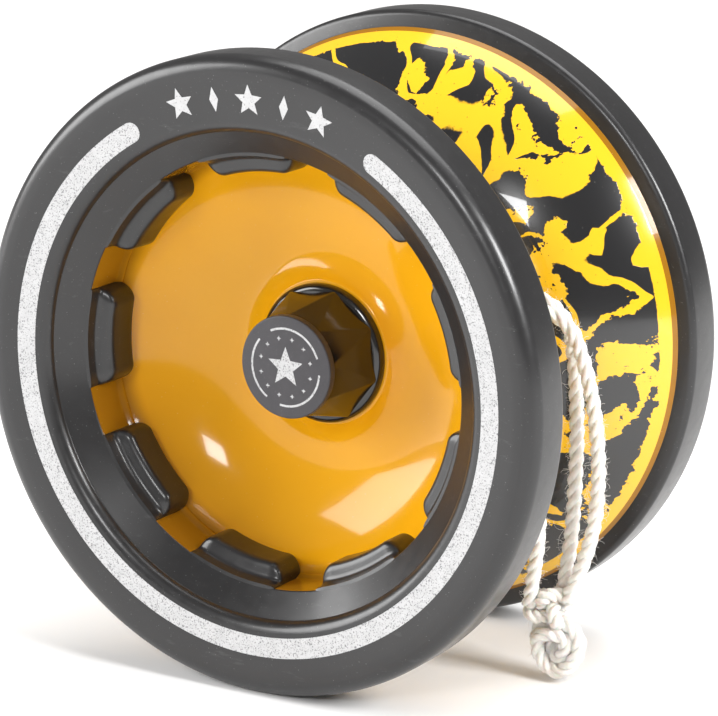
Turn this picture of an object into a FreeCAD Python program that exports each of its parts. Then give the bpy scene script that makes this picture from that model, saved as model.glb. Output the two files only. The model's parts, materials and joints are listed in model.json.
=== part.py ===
"""A wide ball-bearing yo-yo with rubber rims, as a parametric FreeCAD document.

Row frame: the spin axis is Y, the origin is the middle of the axle, +Z is up and the yo-yo stands on
its two rims. Both halves are the same part: a half is drawn with Y pointing outward from the middle
plane, and the front one is turned half a turn about Z.
"""

import FreeCAD, Part
import Sketcher
import math
import os

from FreeCAD import Placement, Rotation, Vector

Y_AXIS = Vector(0, 1, 0)
Z_AXIS = Vector(0, 0, 1)

SIZES = {
    # the half: radii from the axle, and depths from the middle plane
    "rim_radius": 35.0,
    "face_depth": 20.9,
    "gap_half": 2.2,
    "flank_foot": 10.8,
    "flank_edge": 33.1,
    "flank_depth": 14.45,
    "flank_bow": 30.0,
    "bowl_mouth": 24.0,
    "bowl_lip": 16.8,
    "bowl_wall": 11.9,
    "bowl_low_radius": 11.4,
    "bowl_low": 4.2,
    "seat_radius": 8.1,
    "seat_depth": 5.6,
    "channel_inner": 26.2,
    "channel_outer": 30.4,
    "channel_floor": 13.0,
    "slip": 0.05,
    # the rubber rim
    "tread_start": 15.15,
    "tread_end": 19.2,
    "tread_chamfer": 0.4,
    "shoulder_radius": 33.4,
    "shoulder_bow": 1.75,
    "face_land": 0.9,
    "face_inner": 27.9,
    "face_dish": 0.55,
    "throat_radius": 26.7,
    "throat_depth": 19.1,
    "throat_bow": 1.5,
    "mouth_radius": 23.8,
    "lug_count": 9,
    "lug_sweep": 27.0,
    "lug_radius": 21.6,
    "lug_front": 15.3,
    "lug_back": 11.0,
    "lug_edge": 0.8,
    "lug_turn": 2.0,
    # the hub
    "hub_hole": 5.3,
    "hub_flange": 7.8,
    "hub_step": 6.6,
    "hub_top": 12.4,
    "hub_neck": 5.35,
    "hub_sides": 8,
    "hub_turn": 38.0,
    "cap_radius": 5.7,
    "cap_thickness": 1.0,
    "cap_stub": 3.0,
    # axle, nut and spacer
    "axle_radius": 2.0,
    "axle_half": 9.8,
    "thread_slip": 0.03,
    "nut_flats": 7.0,
    "nut_seat": 3.2,
    "nut_height": 3.2,
    "spacer_flange": 5.0,
    "spacer_boss": 4.1,
    "boss_height": 0.22,
    # response pad
    "pad_inner": 7.4,
    "pad_outer": 10.2,
    "pad_groove": 1.1,
    "recess_radius": 6.8,
    "recess_floor": 2.75,
    # ball bearing
    "race_half": 2.381,
    "bearing_bore": 3.175,
    "bearing_outside": 6.35,
    "ball_radius": 0.794,
    "ball_orbit": 4.7625,
    "ball_count": 8,
    "race_step": 0.563,
    "race_slip": 0.03,
    "cage_half": 1.15,
    "cage_wall": 0.3,
    "shield_depth": 1.95,
    "shield_thickness": 0.15,
    "shield_outer": 5.75,
    "clip_width": 0.4,
    "clip_gap": 40.0,
    # string
    "string_thickness": 1.4,
    "winding_outer": 14.9,
    "winding_half": 1.85,
    "knot_across": 2.9,
    "knot_along": 2.4,
    "knot_up": 2.2,
    "knot_x": 25.0,
    "knot_y": 0.8,
    "knot_z": -26.8,
    "loop_radius": 3.1,
    "loop_half": 1.5,
    "loop_x": 26.0,
    "loop_y": 1.0,
    "floor_clearance": 0.1,
}

# Each arc of the bowl and of its seat starts level at the lowest circle of the bowl.
BOWL_BOW = (
    "((bowl_mouth - bowl_low_radius) ^ 2 + (bowl_wall - bowl_low) ^ 2) / 2 / (bowl_wall - bowl_low)"
)
SEAT_BOW = (
    "((bowl_low_radius - seat_radius) ^ 2 + (seat_depth - bowl_low) ^ 2) / 2 / (seat_depth - bowl_low)"
)

# The free end of the string: it leaves the winding, arches over and hangs down to its knot.
TAIL_ROUTE = [
    (11.5, 0.0, -8.3),
    (14.1, 0.1, -4.7),
    (16.3, 0.2, -0.6),
    (18.6, 0.3, 3.5),
    (22.3, 0.4, 6.9),
    (26.9, 0.8, 5.8),
    (28.8, 1.1, 1.0),
    (30.0, 1.2, -4.1),
    (30.6, 1.2, -9.6),
    (30.5, 1.1, -15.2),
    (29.3, 1.0, -20.7),
    (27.0, 1.0, -25.8),
]

# The slip loop: up from the knot, over the string itself, and down to the knot again.
NOOSE_ROUTE = [
    (25.9, 2.0, -25.4),
    (26.4, 2.5, -21.1),
    (26.8, 2.6, -16.7),
    (27.0, 2.6, -12.3),
    (27.1, 2.6, -7.9),
    (26.9, 2.7, -3.5),
    (26.4, 3.2, 1.0),
    (25.2, 3.6, 5.4),
    (21.6, 2.2, 7.9),
    (18.1, -0.4, 6.6),
    (17.1, -1.9, 2.5),
    (19.5, -2.3, -1.5),
    (22.2, -2.3, -5.3),
    (24.2, -2.2, -9.3),
    (25.2, -2.2, -13.5),
    (25.1, -2.0, -17.9),
    (24.3, -1.5, -22.2),
    (23.2, -0.6, -26.4),
]


def write_sheet(doc):
    sheet = doc.addObject("Spreadsheet::Sheet", "Sizes")
    for row, (alias, number) in enumerate(SIZES.items(), start=1):
        sheet.set(f"A{row}", alias)
        sheet.set(f"B{row}", str(number))
        sheet.setAlias(f"B{row}", alias)
    doc.recompute()
    return sheet


def bound(expression):
    """The expression with each size's alias led by the sheet's name."""
    words = []
    word = ""
    for letter in expression + " ":
        if letter.isalnum() or letter == "_":
            word += letter
            continue
        words.append(f"Sizes.{word}" if word in SIZES else word)
        words.append(letter)
        word = ""
    return "".join(words).strip()


def number(doc, expression):
    """What an expression comes to with the sheet's present values."""
    found = doc.getObject("Sizes").evalExpression(bound(str(expression)))
    return float(getattr(found, "Value", found))


def new_body(doc, label):
    body = doc.addObject("PartDesign::Body", label)
    body.Label = label
    return body


def new_sketch(body, name, role):
    plane = next(f for f in body.Origin.OriginFeatures if f.Role == role)
    sketch = body.newObject("Sketcher::SketchObject", name)
    sketch.AttachmentSupport = [(plane, "")]
    sketch.MapMode = "FlatFace"
    return sketch


def pin_point(sketch, edge, end, across, along):
    """Hold one end of an edge at two distances from the origin, both bound to the sheet."""
    for kind, expression in (("DistanceX", across), ("DistanceY", along)):
        size = number(sketch.Document, expression)
        index = sketch.addConstraint(Sketcher.Constraint(kind, -1, 1, edge, end, size))
        sketch.setExpression(f"Constraints[{index}]", bound(str(expression)))


def arc_between(start, end, radius, side):
    """An arc joining start and end. side is 1 if it bulges to the right of the way from start to
    end, and -1 if it bulges to the left."""
    chord = end - start
    right = Vector(chord.y, -chord.x, 0).normalize()
    back = math.sqrt(radius**2 - (chord.Length / 2) ** 2)
    centre = (start + end) / 2 - right * (side * back)
    first, last = (start, end) if side > 0 else (end, start)
    angles = [math.atan2(p.y - centre.y, p.x - centre.x) for p in (first, last)]
    circle = Part.Circle(centre, Z_AXIS, radius)
    return Part.ArcOfCircle(circle, angles[0], angles[1])


def draw_outline(sketch, corners):
    """A closed outline. A corner is (across, along) or (across, along, radius, side) where an arc,
    and not a straight line, leads from it to the next corner."""
    doc = sketch.Document
    places = [Vector(number(doc, c[0]), number(doc, c[1]), 0) for c in corners]
    edges = []
    for index, corner in enumerate(corners):
        start, end = places[index], places[(index + 1) % len(corners)]
        if len(corner) == 2:
            edge = sketch.addGeometry(Part.LineSegment(start, end), False)
            edges.append((edge, 1, 2))
            continue
        arc = arc_between(start, end, number(doc, corner[2]), corner[3])
        edge = sketch.addGeometry(arc, False)
        drawn = sketch.Geometry[edge]
        forward = drawn.StartPoint.distanceToPoint(start) < drawn.EndPoint.distanceToPoint(start)
        edges.append((edge, 1, 2) if forward else (edge, 2, 1))
        index_of = sketch.addConstraint(
            Sketcher.Constraint("Radius", edge, number(doc, corner[2]))
        )
        sketch.setExpression(f"Constraints[{index_of}]", bound(str(corner[2])))
    for index, corner in enumerate(corners):
        before, here = edges[index - 1], edges[index]
        sketch.addConstraint(
            Sketcher.Constraint("Coincident", before[0], before[2], here[0], here[1])
        )
        pin_point(sketch, here[0], here[1], corner[0], corner[1])


def revolve(body, name, corners, sweep=None):
    """Turn an outline of radius and depth about the spin axis, all round or over a bound angle."""
    sketch = new_sketch(body, name + "_outline", "XY_Plane")
    draw_outline(sketch, corners)
    turned = body.newObject("PartDesign::Revolution", name)
    turned.Profile = sketch
    turned.ReferenceAxis = (sketch, ["V_Axis"])
    turned.Angle = 360
    if sweep is not None:
        turned.Midplane = True
        turned.setExpression("Angle", bound(sweep))
    body.Document.recompute()
    return turned


def spin_axis(body):
    return next(f for f in body.Origin.OriginFeatures if f.Role == "Y_Axis")


def place_half(body, side, turn="0"):
    """Turn a part of a half about the spin axis, and to its own side: -1 in front, 1 behind."""
    angle = number(body.Document, turn)
    own = Rotation(Y_AXIS, -angle)
    if side < 0:
        own = Rotation(Z_AXIS, 180).multiply(own)
    body.Placement = Placement(Vector(), own)


def half_shell(doc, label, side):
    """The yellow dish: a domed flank towards the gap, a deep bowl outside, and a channel that
    takes the rubber rim's tongue."""
    body = new_body(doc, label)
    revolve(
        body,
        label + "_dish",
        [
            ("hub_hole", "recess_floor"),
            ("recess_radius", "recess_floor"),
            ("recess_radius", "gap_half"),
            ("pad_inner", "gap_half"),
            ("pad_inner", "gap_half + pad_groove"),
            ("pad_outer", "gap_half + pad_groove"),
            ("pad_outer", "gap_half"),
            ("flank_foot", "gap_half", "flank_bow", 1),
            ("flank_edge", "flank_depth"),
            ("channel_outer", "flank_depth"),
            ("channel_outer", "channel_floor"),
            ("channel_inner", "channel_floor"),
            ("channel_inner", "bowl_lip"),
            ("bowl_mouth", "bowl_lip"),
            ("bowl_mouth", "bowl_wall", BOWL_BOW, -1),
            ("bowl_low_radius", "bowl_low", SEAT_BOW, -1),
            ("seat_radius", "seat_depth"),
            ("hub_hole", "seat_depth"),
        ],
    )
    place_half(body, side)
    return body


def rubber_rim(doc, label, side):
    """The black tyre: a flat tread, a rounded shoulder, a dished face, and lugs that grip the
    bowl's lip from inside."""
    body = new_body(doc, label)
    revolve(
        body,
        label + "_tyre",
        [
            ("flank_edge", "flank_depth"),
            ("rim_radius - tread_chamfer", "flank_depth + 0.3"),
            ("rim_radius", "tread_start"),
            ("rim_radius", "tread_end", "shoulder_bow", 1),
            ("shoulder_radius", "face_depth"),
            ("shoulder_radius - face_land", "face_depth"),
            ("face_inner", "face_depth - face_dish", "throat_bow", 1),
            ("throat_radius", "throat_depth"),
            ("mouth_radius", "bowl_lip"),
            ("channel_inner + slip", "bowl_lip"),
            ("channel_inner + slip", "channel_floor"),
            ("channel_outer - slip", "channel_floor"),
            ("channel_outer - slip", "flank_depth"),
        ],
    )
    lug = revolve(
        body,
        label + "_lug",
        [
            ("mouth_radius + 0.6", "bowl_lip"),
            ("mouth_radius + 0.6", "bowl_lip + 0.3"),
            ("mouth_radius - 0.2", "bowl_lip"),
            ("mouth_radius - 0.5", "bowl_lip - 0.8"),
            ("lug_radius + lug_edge", "lug_front", "lug_edge", -1),
            ("lug_radius", "lug_front - lug_edge"),
            ("lug_radius", "lug_back"),
            ("bowl_mouth - slip", "bowl_wall + 0.2"),
            ("bowl_mouth - slip", "bowl_lip"),
        ],
        sweep="lug_sweep",
    )
    ring = body.newObject("PartDesign::PolarPattern", label + "_lugs")
    ring.Originals = [lug]
    ring.Axis = (spin_axis(body), [""])
    ring.Angle = 360
    ring.setExpression("Occurrences", bound("lug_count"))
    body.Tip = ring
    doc.recompute()
    place_half(body, side, "lug_turn")
    return body


def ring_face(doc, corners):
    """A flat face of radius and depth with straight sides, for shapes made outside a sketch."""
    points = [Vector(number(doc, c[0]), number(doc, c[1]), 0) for c in corners]
    return Part.Face(Part.makePolygon(points + points[:1]))


def around(radius, depth, degrees):
    """A point on a circle about the spin axis, measured from +X towards +Z."""
    angle = math.radians(degrees)
    return Vector(radius * math.cos(angle), depth, radius * math.sin(angle))


def faceted_frustum(doc):
    """Two polygons, one turned half a side from the other, joined by triangles."""
    sides = int(SIZES["hub_sides"])
    step = 360 / sides
    low_radius = number(doc, "hub_flange - 0.15")
    low_depth = number(doc, "hub_step - 0.01")
    top_radius = number(doc, "hub_neck")
    top_depth = number(doc, "hub_top")
    low = [around(low_radius, low_depth, (k - 0.5) * step) for k in range(sides)]
    top = [around(top_radius, top_depth, k * step) for k in range(sides)]
    triangles = []
    for k in range(sides):
        after = (k + 1) % sides
        triangles.append((low[k], low[after], top[k]))
        triangles.append((top[k], low[after], top[after]))
    outlines = [*triangles, tuple(low), tuple(top)]
    faces = [Part.Face(Part.makePolygon([*o, o[0]])) for o in outlines]
    return Part.Solid(Part.makeShell(faces))


def hub_knob(doc, label, side):
    """The black knob that closes the bowl: a round flange with eight diamond-cut sides, a spigot
    into the shell, a hexagonal pocket for the nut and a recess for the cap's stub."""
    core = ring_face(
        doc,
        [
            ("0", "nut_seat"),
            ("hub_hole - slip", "nut_seat"),
            ("hub_hole - slip", "seat_depth"),
            ("hub_flange", "seat_depth"),
            ("hub_flange", "hub_step - 0.3"),
            ("hub_flange - 0.15", "hub_step"),
            ("0", "hub_step"),
        ],
    ).revolve(Vector(), Y_AXIS, 360)
    pocket = hexagon_prism(doc, number(doc, "nut_flats / 2 + slip"), "nut_seat", "nut_height")
    rod_hole = cylinder_between(doc, "axle_radius + 0.15", "nut_seat", "axle_half + 0.4")
    stub_hole = cylinder_between(doc, "cap_stub + slip", "hub_top - cap_thickness", "hub_top")
    knob = doc.addObject("Part::Feature", label)
    knob.Label = label
    solid = core.fuse(faceted_frustum(doc)).removeSplitter()
    knob.Shape = solid.cut([pocket, rod_hole, stub_hole])
    place_half(knob, side, "hub_turn")
    return knob


def cylinder_between(doc, radius, start, end):
    low, high = number(doc, start), number(doc, end)
    return Part.makeCylinder(number(doc, radius), high - low, Vector(0, low, 0), Y_AXIS)


def hexagon_prism(doc, apothem, start, height):
    corner = apothem / math.cos(math.pi / 6)
    low = number(doc, start)
    points = [around(corner, low, 60 * k) for k in range(7)]
    return Part.Face(Part.makePolygon(points)).extrude(Y_AXIS * number(doc, height))


def hub_cap(doc, label, side):
    """The flat printed disc that closes the knob, with a stub behind it."""
    body = new_body(doc, label)
    revolve(
        body,
        label + "_disc",
        [
            ("0", "hub_top - cap_thickness"),
            ("cap_stub", "hub_top - cap_thickness"),
            ("cap_stub", "hub_top"),
            ("cap_radius - 0.1", "hub_top"),
            ("cap_radius", "hub_top + 0.1"),
            ("cap_radius", "hub_top + cap_thickness - 0.15"),
            ("cap_radius - 0.15", "hub_top + cap_thickness"),
            ("0", "hub_top + cap_thickness"),
        ],
    )
    place_half(body, side)
    return body


def axle_nut(doc, label, side):
    """A plain hexagonal nut, made from a prism with its corners turned off and a bore."""
    prism = doc.addObject("Part::Prism", label + "_prism")
    prism.setExpression("Circumradius", bound("nut_flats / 2 / cos(30)"))
    prism.setExpression("Height", bound("nut_height"))
    bore = doc.addObject("Part::Cylinder", label + "_bore")
    bore.setExpression("Radius", bound("axle_radius + thread_slip"))
    bore.setExpression("Height", bound("nut_height"))
    nut = doc.addObject("Part::Cut", label)
    nut.Label = label
    nut.Base = prism
    nut.Tool = bore
    doc.recompute()
    stand = Rotation(Vector(1, 0, 0), -90)
    upright = Placement(Vector(0, number(doc, "nut_seat"), 0), stand)
    turn = Rotation(Y_AXIS, -number(doc, "hub_turn"))
    if side < 0:
        turn = Rotation(Z_AXIS, 180).multiply(turn)
    nut.Placement = Placement(Vector(), turn).multiply(upright)
    return nut


def turned_part(doc, label, side, corners, sweep=None):
    """A part that is one turned outline on one side of the middle plane."""
    body = new_body(doc, label)
    revolve(body, label + "_turning", corners, sweep)
    place_half(body, side)
    return body


def bearing_spacer(doc, label, side):
    """A flanged sleeve that centres the bearing on the axle and holds the half off it."""
    return turned_part(
        doc,
        label,
        side,
        [
            ("axle_radius + slip", "slip"),
            ("bearing_bore - 0.01", "slip"),
            ("bearing_bore - 0.01", "race_half"),
            ("spacer_boss", "race_half"),
            ("spacer_boss", "race_half + boss_height"),
            ("spacer_flange", "race_half + boss_height"),
            ("spacer_flange", "nut_seat"),
            ("axle_radius + slip", "nut_seat"),
        ],
    )


def response_pad(doc, label, side):
    """A soft friction ring, set in the shell just under the face of the gap."""
    return turned_part(
        doc,
        label,
        side,
        [
            ("pad_inner + slip", "gap_half + slip"),
            ("pad_outer - slip", "gap_half + slip"),
            ("pad_outer - slip", "gap_half + pad_groove"),
            ("pad_inner + slip", "gap_half + pad_groove"),
        ],
    )


def bearing_shield(doc, label, side):
    return turned_part(
        doc,
        label,
        side,
        [
            ("ball_orbit - race_step + 0.1", "shield_depth"),
            ("shield_outer - slip", "shield_depth"),
            ("shield_outer - slip", "shield_depth + shield_thickness"),
            ("ball_orbit - race_step + 0.1", "shield_depth + shield_thickness"),
        ],
    )


def shield_clip(doc, label, side):
    """A spring ring with a gap, which keeps the shield in the outer race."""
    inner = "shield_outer - slip - clip_width"
    return turned_part(
        doc,
        label,
        side,
        [
            (inner, "shield_depth + shield_thickness"),
            ("shield_outer - slip", "shield_depth + shield_thickness"),
            ("shield_outer - slip", "shield_depth + 2 * shield_thickness"),
            (inner, "shield_depth + 2 * shield_thickness"),
        ],
        sweep="360 - clip_gap",
    )


def axle(doc, label):
    return turned_part(
        doc,
        label,
        1,
        [
            ("0", "-axle_half"),
            ("axle_radius - 0.4", "-axle_half"),
            ("axle_radius", "0.4 - axle_half"),
            ("axle_radius", "axle_half - 0.4"),
            ("axle_radius - 0.4", "axle_half"),
            ("0", "axle_half"),
        ],
    )


GROOVE_HALF = "sqrt((ball_radius + race_slip) ^ 2 - race_step ^ 2)"


def bearing_inner_race(doc, label):
    shoulder = "ball_orbit - race_step"
    return turned_part(
        doc,
        label,
        1,
        [
            ("bearing_bore", "-race_half"),
            (shoulder, "-race_half"),
            (shoulder, f"-{GROOVE_HALF}", "ball_radius + race_slip", -1),
            (shoulder, GROOVE_HALF),
            (shoulder, "race_half"),
            ("bearing_bore", "race_half"),
        ],
    )


def bearing_outer_race(doc, label):
    shoulder = "ball_orbit + race_step"
    return turned_part(
        doc,
        label,
        1,
        [
            ("bearing_outside", "-race_half"),
            ("bearing_outside", "race_half"),
            ("shield_outer", "race_half"),
            ("shield_outer", "shield_depth"),
            (shoulder, "shield_depth"),
            (shoulder, GROOVE_HALF, "ball_radius + race_slip", -1),
            (shoulder, f"-{GROOVE_HALF}"),
            (shoulder, "-shield_depth"),
            ("shield_outer", "-shield_depth"),
            ("shield_outer", "-race_half"),
        ],
    )


def ball_places(doc):
    count = int(SIZES["ball_count"])
    orbit = number(doc, "ball_orbit")
    return [around(orbit, 0, 360 * k / count) for k in range(count)]


def bearing_balls(doc, label):
    balls = doc.addObject("Part::Feature", label)
    balls.Label = label
    radius = number(doc, "ball_radius")
    balls.Shape = Part.makeCompound([Part.makeSphere(radius, p) for p in ball_places(doc)])
    balls.Placement = Placement()
    return balls


def ball_cage(doc, label):
    """A thin ring between the races, with a round window for each ball."""
    inner, outer = "ball_orbit - cage_wall", "ball_orbit + cage_wall"
    ring = ring_face(
        doc,
        [
            (inner, "-cage_half"),
            (outer, "-cage_half"),
            (outer, "cage_half"),
            (inner, "cage_half"),
        ],
    ).revolve(Vector(), Y_AXIS, 360)
    radius = number(doc, "ball_radius + race_slip")
    cage = doc.addObject("Part::Feature", label)
    cage.Label = label
    cage.Shape = ring.cut([Part.makeSphere(radius, p) for p in ball_places(doc)])
    cage.Placement = Placement()
    return cage


def string_winding(doc, label):
    """The outer shape of the string's turns on the bearing."""
    return turned_part(
        doc,
        label,
        1,
        [
            ("bearing_outside + race_slip", "-winding_half"),
            ("winding_outer - 0.5", "-winding_half"),
            ("winding_outer", "0.5 - winding_half"),
            ("winding_outer", "winding_half - 0.5"),
            ("winding_outer - 0.5", "winding_half"),
            ("bearing_outside + race_slip", "winding_half"),
        ],
    )


def rounded_path(route):
    """Straight runs joined by tangent arcs, with the arcs' radii."""
    points = [Vector(*p) for p in route]
    edges, radii = [], []
    start = points[0]
    for before, corner, after in zip(points, points[1:], points[2:]):
        to_before, to_after = before - corner, after - corner
        shorter = min(to_before.Length, to_after.Length)
        turn = math.pi - to_before.getAngle(to_after)
        cut = 0.45 * shorter
        first = corner + to_before.normalize() * cut
        last = corner + to_after.normalize() * cut
        radius = cut / math.tan(turn / 2)
        inward = ((first + last) / 2 - corner).normalize()
        middle = corner + inward * (radius / math.cos(turn / 2) - radius)
        edges.append(Part.LineSegment(start, first).toShape())
        edges.append(Part.Arc(first, middle, last).toShape())
        radii.append(radius)
        start = last
    edges.append(Part.LineSegment(start, points[-1]).toShape())
    return Part.Wire(edges), radii


def string_tube(doc, label, route):
    """A plain tube along a route, checked against its section times its length."""
    path, radii = rounded_path(route)
    radius = number(doc, "string_thickness / 2")
    along = path.Edges[0].tangentAt(path.Edges[0].FirstParameter)
    section = Part.Wire(Part.makeCircle(radius, path.Vertexes[0].Point, along))
    tube = doc.addObject("Part::Feature", label)
    tube.Label = label
    tube.Shape = path.makePipeShell([section], True, False)
    tube.Placement = Placement()
    expected = math.pi * radius**2 * path.Length
    share = tube.Shape.Volume / expected
    tightest = ", ".join(f"{r:.1f}" for r in radii)
    print(f"{label}: {path.Length:.1f} mm long, volume {share:.3f} of expected, radii {tightest}")
    return tube


def string_knot(doc, label):
    knot = doc.addObject("Part::Ellipsoid", label)
    knot.Label = label
    for name, alias in (("Radius2", "across"), ("Radius3", "along"), ("Radius1", "up")):
        knot.setExpression(name, bound(f"knot_{alias}"))
    doc.recompute()
    centre = Vector(*(number(doc, f"knot_{axis}") for axis in "xyz"))
    knot.Placement = Placement(centre, Rotation())
    return knot


def finger_loop(doc, label):
    """The small tied loop below the knot, two strands wide, which touches the ground."""
    inner = "loop_radius - string_thickness / 2"
    outer = "loop_radius + string_thickness / 2"
    body = new_body(doc, label)
    revolve(
        body,
        label + "_turning",
        [
            (inner, "0.3 - loop_half"),
            (inner + " + 0.3", "-loop_half"),
            (outer + " - 0.3", "-loop_half"),
            (outer, "0.3 - loop_half"),
            (outer, "loop_half - 0.3"),
            (outer + " - 0.3", "loop_half"),
            (inner + " + 0.3", "loop_half"),
            (inner, "loop_half - 0.3"),
        ],
    )
    height = number(doc, "floor_clearance - rim_radius + loop_radius + string_thickness / 2")
    centre = Vector(number(doc, "loop_x"), number(doc, "loop_y"), height)
    body.Placement = Placement(centre, Rotation())
    return body


def build_nodes(doc):
    """Every sub-part of the yo-yo, each an object with its own label."""
    nodes = []
    for name, side in (("front", -1), ("rear", 1)):
        nodes.append(half_shell(doc, f"{name}_shell", side))
        nodes.append(rubber_rim(doc, f"{name}_rubber_rim", side))
        nodes.append(hub_knob(doc, f"{name}_hub_knob", side))
        nodes.append(hub_cap(doc, f"{name}_hub_cap", side))
        nodes.append(axle_nut(doc, f"{name}_axle_nut", side))
        nodes.append(bearing_spacer(doc, f"{name}_bearing_spacer", side))
        nodes.append(response_pad(doc, f"{name}_response_pad", side))
        nodes.append(bearing_shield(doc, f"{name}_bearing_shield", side))
        nodes.append(shield_clip(doc, f"{name}_shield_clip", side))
    nodes.append(axle(doc, "axle"))
    nodes.append(bearing_inner_race(doc, "bearing_inner_race"))
    nodes.append(bearing_outer_race(doc, "bearing_outer_race"))
    nodes.append(bearing_balls(doc, "bearing_balls"))
    nodes.append(ball_cage(doc, "ball_cage"))
    nodes.append(string_winding(doc, "string_winding"))
    nodes.append(string_tube(doc, "string_tail", TAIL_ROUTE))
    nodes.append(string_tube(doc, "string_noose", NOOSE_ROUTE))
    nodes.append(string_knot(doc, "string_knot"))
    nodes.append(finger_loop(doc, "finger_loop"))
    return nodes


def check(doc, nodes):
    """Stop if any object failed to compute, or any sub-part's shape is missing or not valid."""
    for thing in doc.Objects:
        if "Invalid" in thing.State or "Error" in thing.State:
            raise RuntimeError(f"{thing.Name} is {thing.State}")
    for node in nodes:
        if node.Shape.isNull() or not node.Shape.isValid() or not node.Shape.Solids:
            raise RuntimeError(f"{node.Label} has no valid solid")


def main():
    doc = FreeCAD.newDocument("yo_yo")
    write_sheet(doc)
    nodes = build_nodes(doc)
    doc.recompute()
    check(doc, nodes)
    os.makedirs("parts", exist_ok=True)
    for node in nodes:
        node.Shape.exportStep(f"parts/{node.Label}.step")
        print(f"{node.Label}: {len(node.Shape.Solids)} solid, {node.Shape.Volume:.1f} mm3")


main()
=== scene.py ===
"""The looks of a wide yo-yo with rubber rims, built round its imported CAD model.

Row frame: the spin axis is Y, +Z is up, and the yo-yo stands on its rims. Lengths in this file are in
millimetres until they reach a mesh, except where a name says metres.
"""

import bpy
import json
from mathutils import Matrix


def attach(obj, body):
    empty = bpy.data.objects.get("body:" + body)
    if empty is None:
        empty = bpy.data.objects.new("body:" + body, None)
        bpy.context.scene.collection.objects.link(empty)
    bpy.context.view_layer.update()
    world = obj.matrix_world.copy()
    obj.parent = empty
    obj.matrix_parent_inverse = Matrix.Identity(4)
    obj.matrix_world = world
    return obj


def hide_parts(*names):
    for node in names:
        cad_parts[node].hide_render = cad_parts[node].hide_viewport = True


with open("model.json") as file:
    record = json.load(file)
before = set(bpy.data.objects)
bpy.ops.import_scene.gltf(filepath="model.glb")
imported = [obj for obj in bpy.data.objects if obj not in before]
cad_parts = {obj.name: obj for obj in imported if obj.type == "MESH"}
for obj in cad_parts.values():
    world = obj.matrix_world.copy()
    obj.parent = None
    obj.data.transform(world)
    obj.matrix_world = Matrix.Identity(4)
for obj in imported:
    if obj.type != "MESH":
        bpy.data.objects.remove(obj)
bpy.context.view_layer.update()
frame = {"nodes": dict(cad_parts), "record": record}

import json
import math
import random

import bmesh
import bpy
from mathutils import Vector

MM = 0.001
SIDES = (("front", -1), ("rear", 1))
BODY = {"front": "front_half", "rear": "rear_half"}
FLOOR = -35.0
PRINT_LIFT = 0.012

# ---------------------------------------------------------------- camera

AZIMUTH, ELEVATION = math.radians(31.92), math.radians(14.21)
DISTANCE = 399.8
AIM_RIGHT, AIM_UP = 0.85, -1.82
LENS = 180.95


def make_camera():
    """The photograph's view, aimed a little to the right of the axle's middle and below it."""
    back = Vector(
        (
            math.sin(AZIMUTH) * math.cos(ELEVATION),
            -math.cos(AZIMUTH) * math.cos(ELEVATION),
            math.sin(ELEVATION),
        )
    )
    right = Vector((math.cos(AZIMUTH), math.sin(AZIMUTH), 0))
    up = back.cross(right)
    aim = right * AIM_RIGHT + up * AIM_UP
    data = bpy.data.cameras.new("camera")
    data.lens, data.sensor_width = LENS, 36
    data.clip_start, data.clip_end = 0.01, 20
    camera = bpy.data.objects.new("camera", data)
    camera.location = back * DISTANCE * MM
    camera.rotation_mode = "QUATERNION"
    camera.rotation_quaternion = (aim - back * DISTANCE).to_track_quat("-Z", "Y")
    bpy.context.scene.collection.objects.link(camera)
    bpy.context.scene.camera = camera


# ---------------------------------------------------------------- materials


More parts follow.
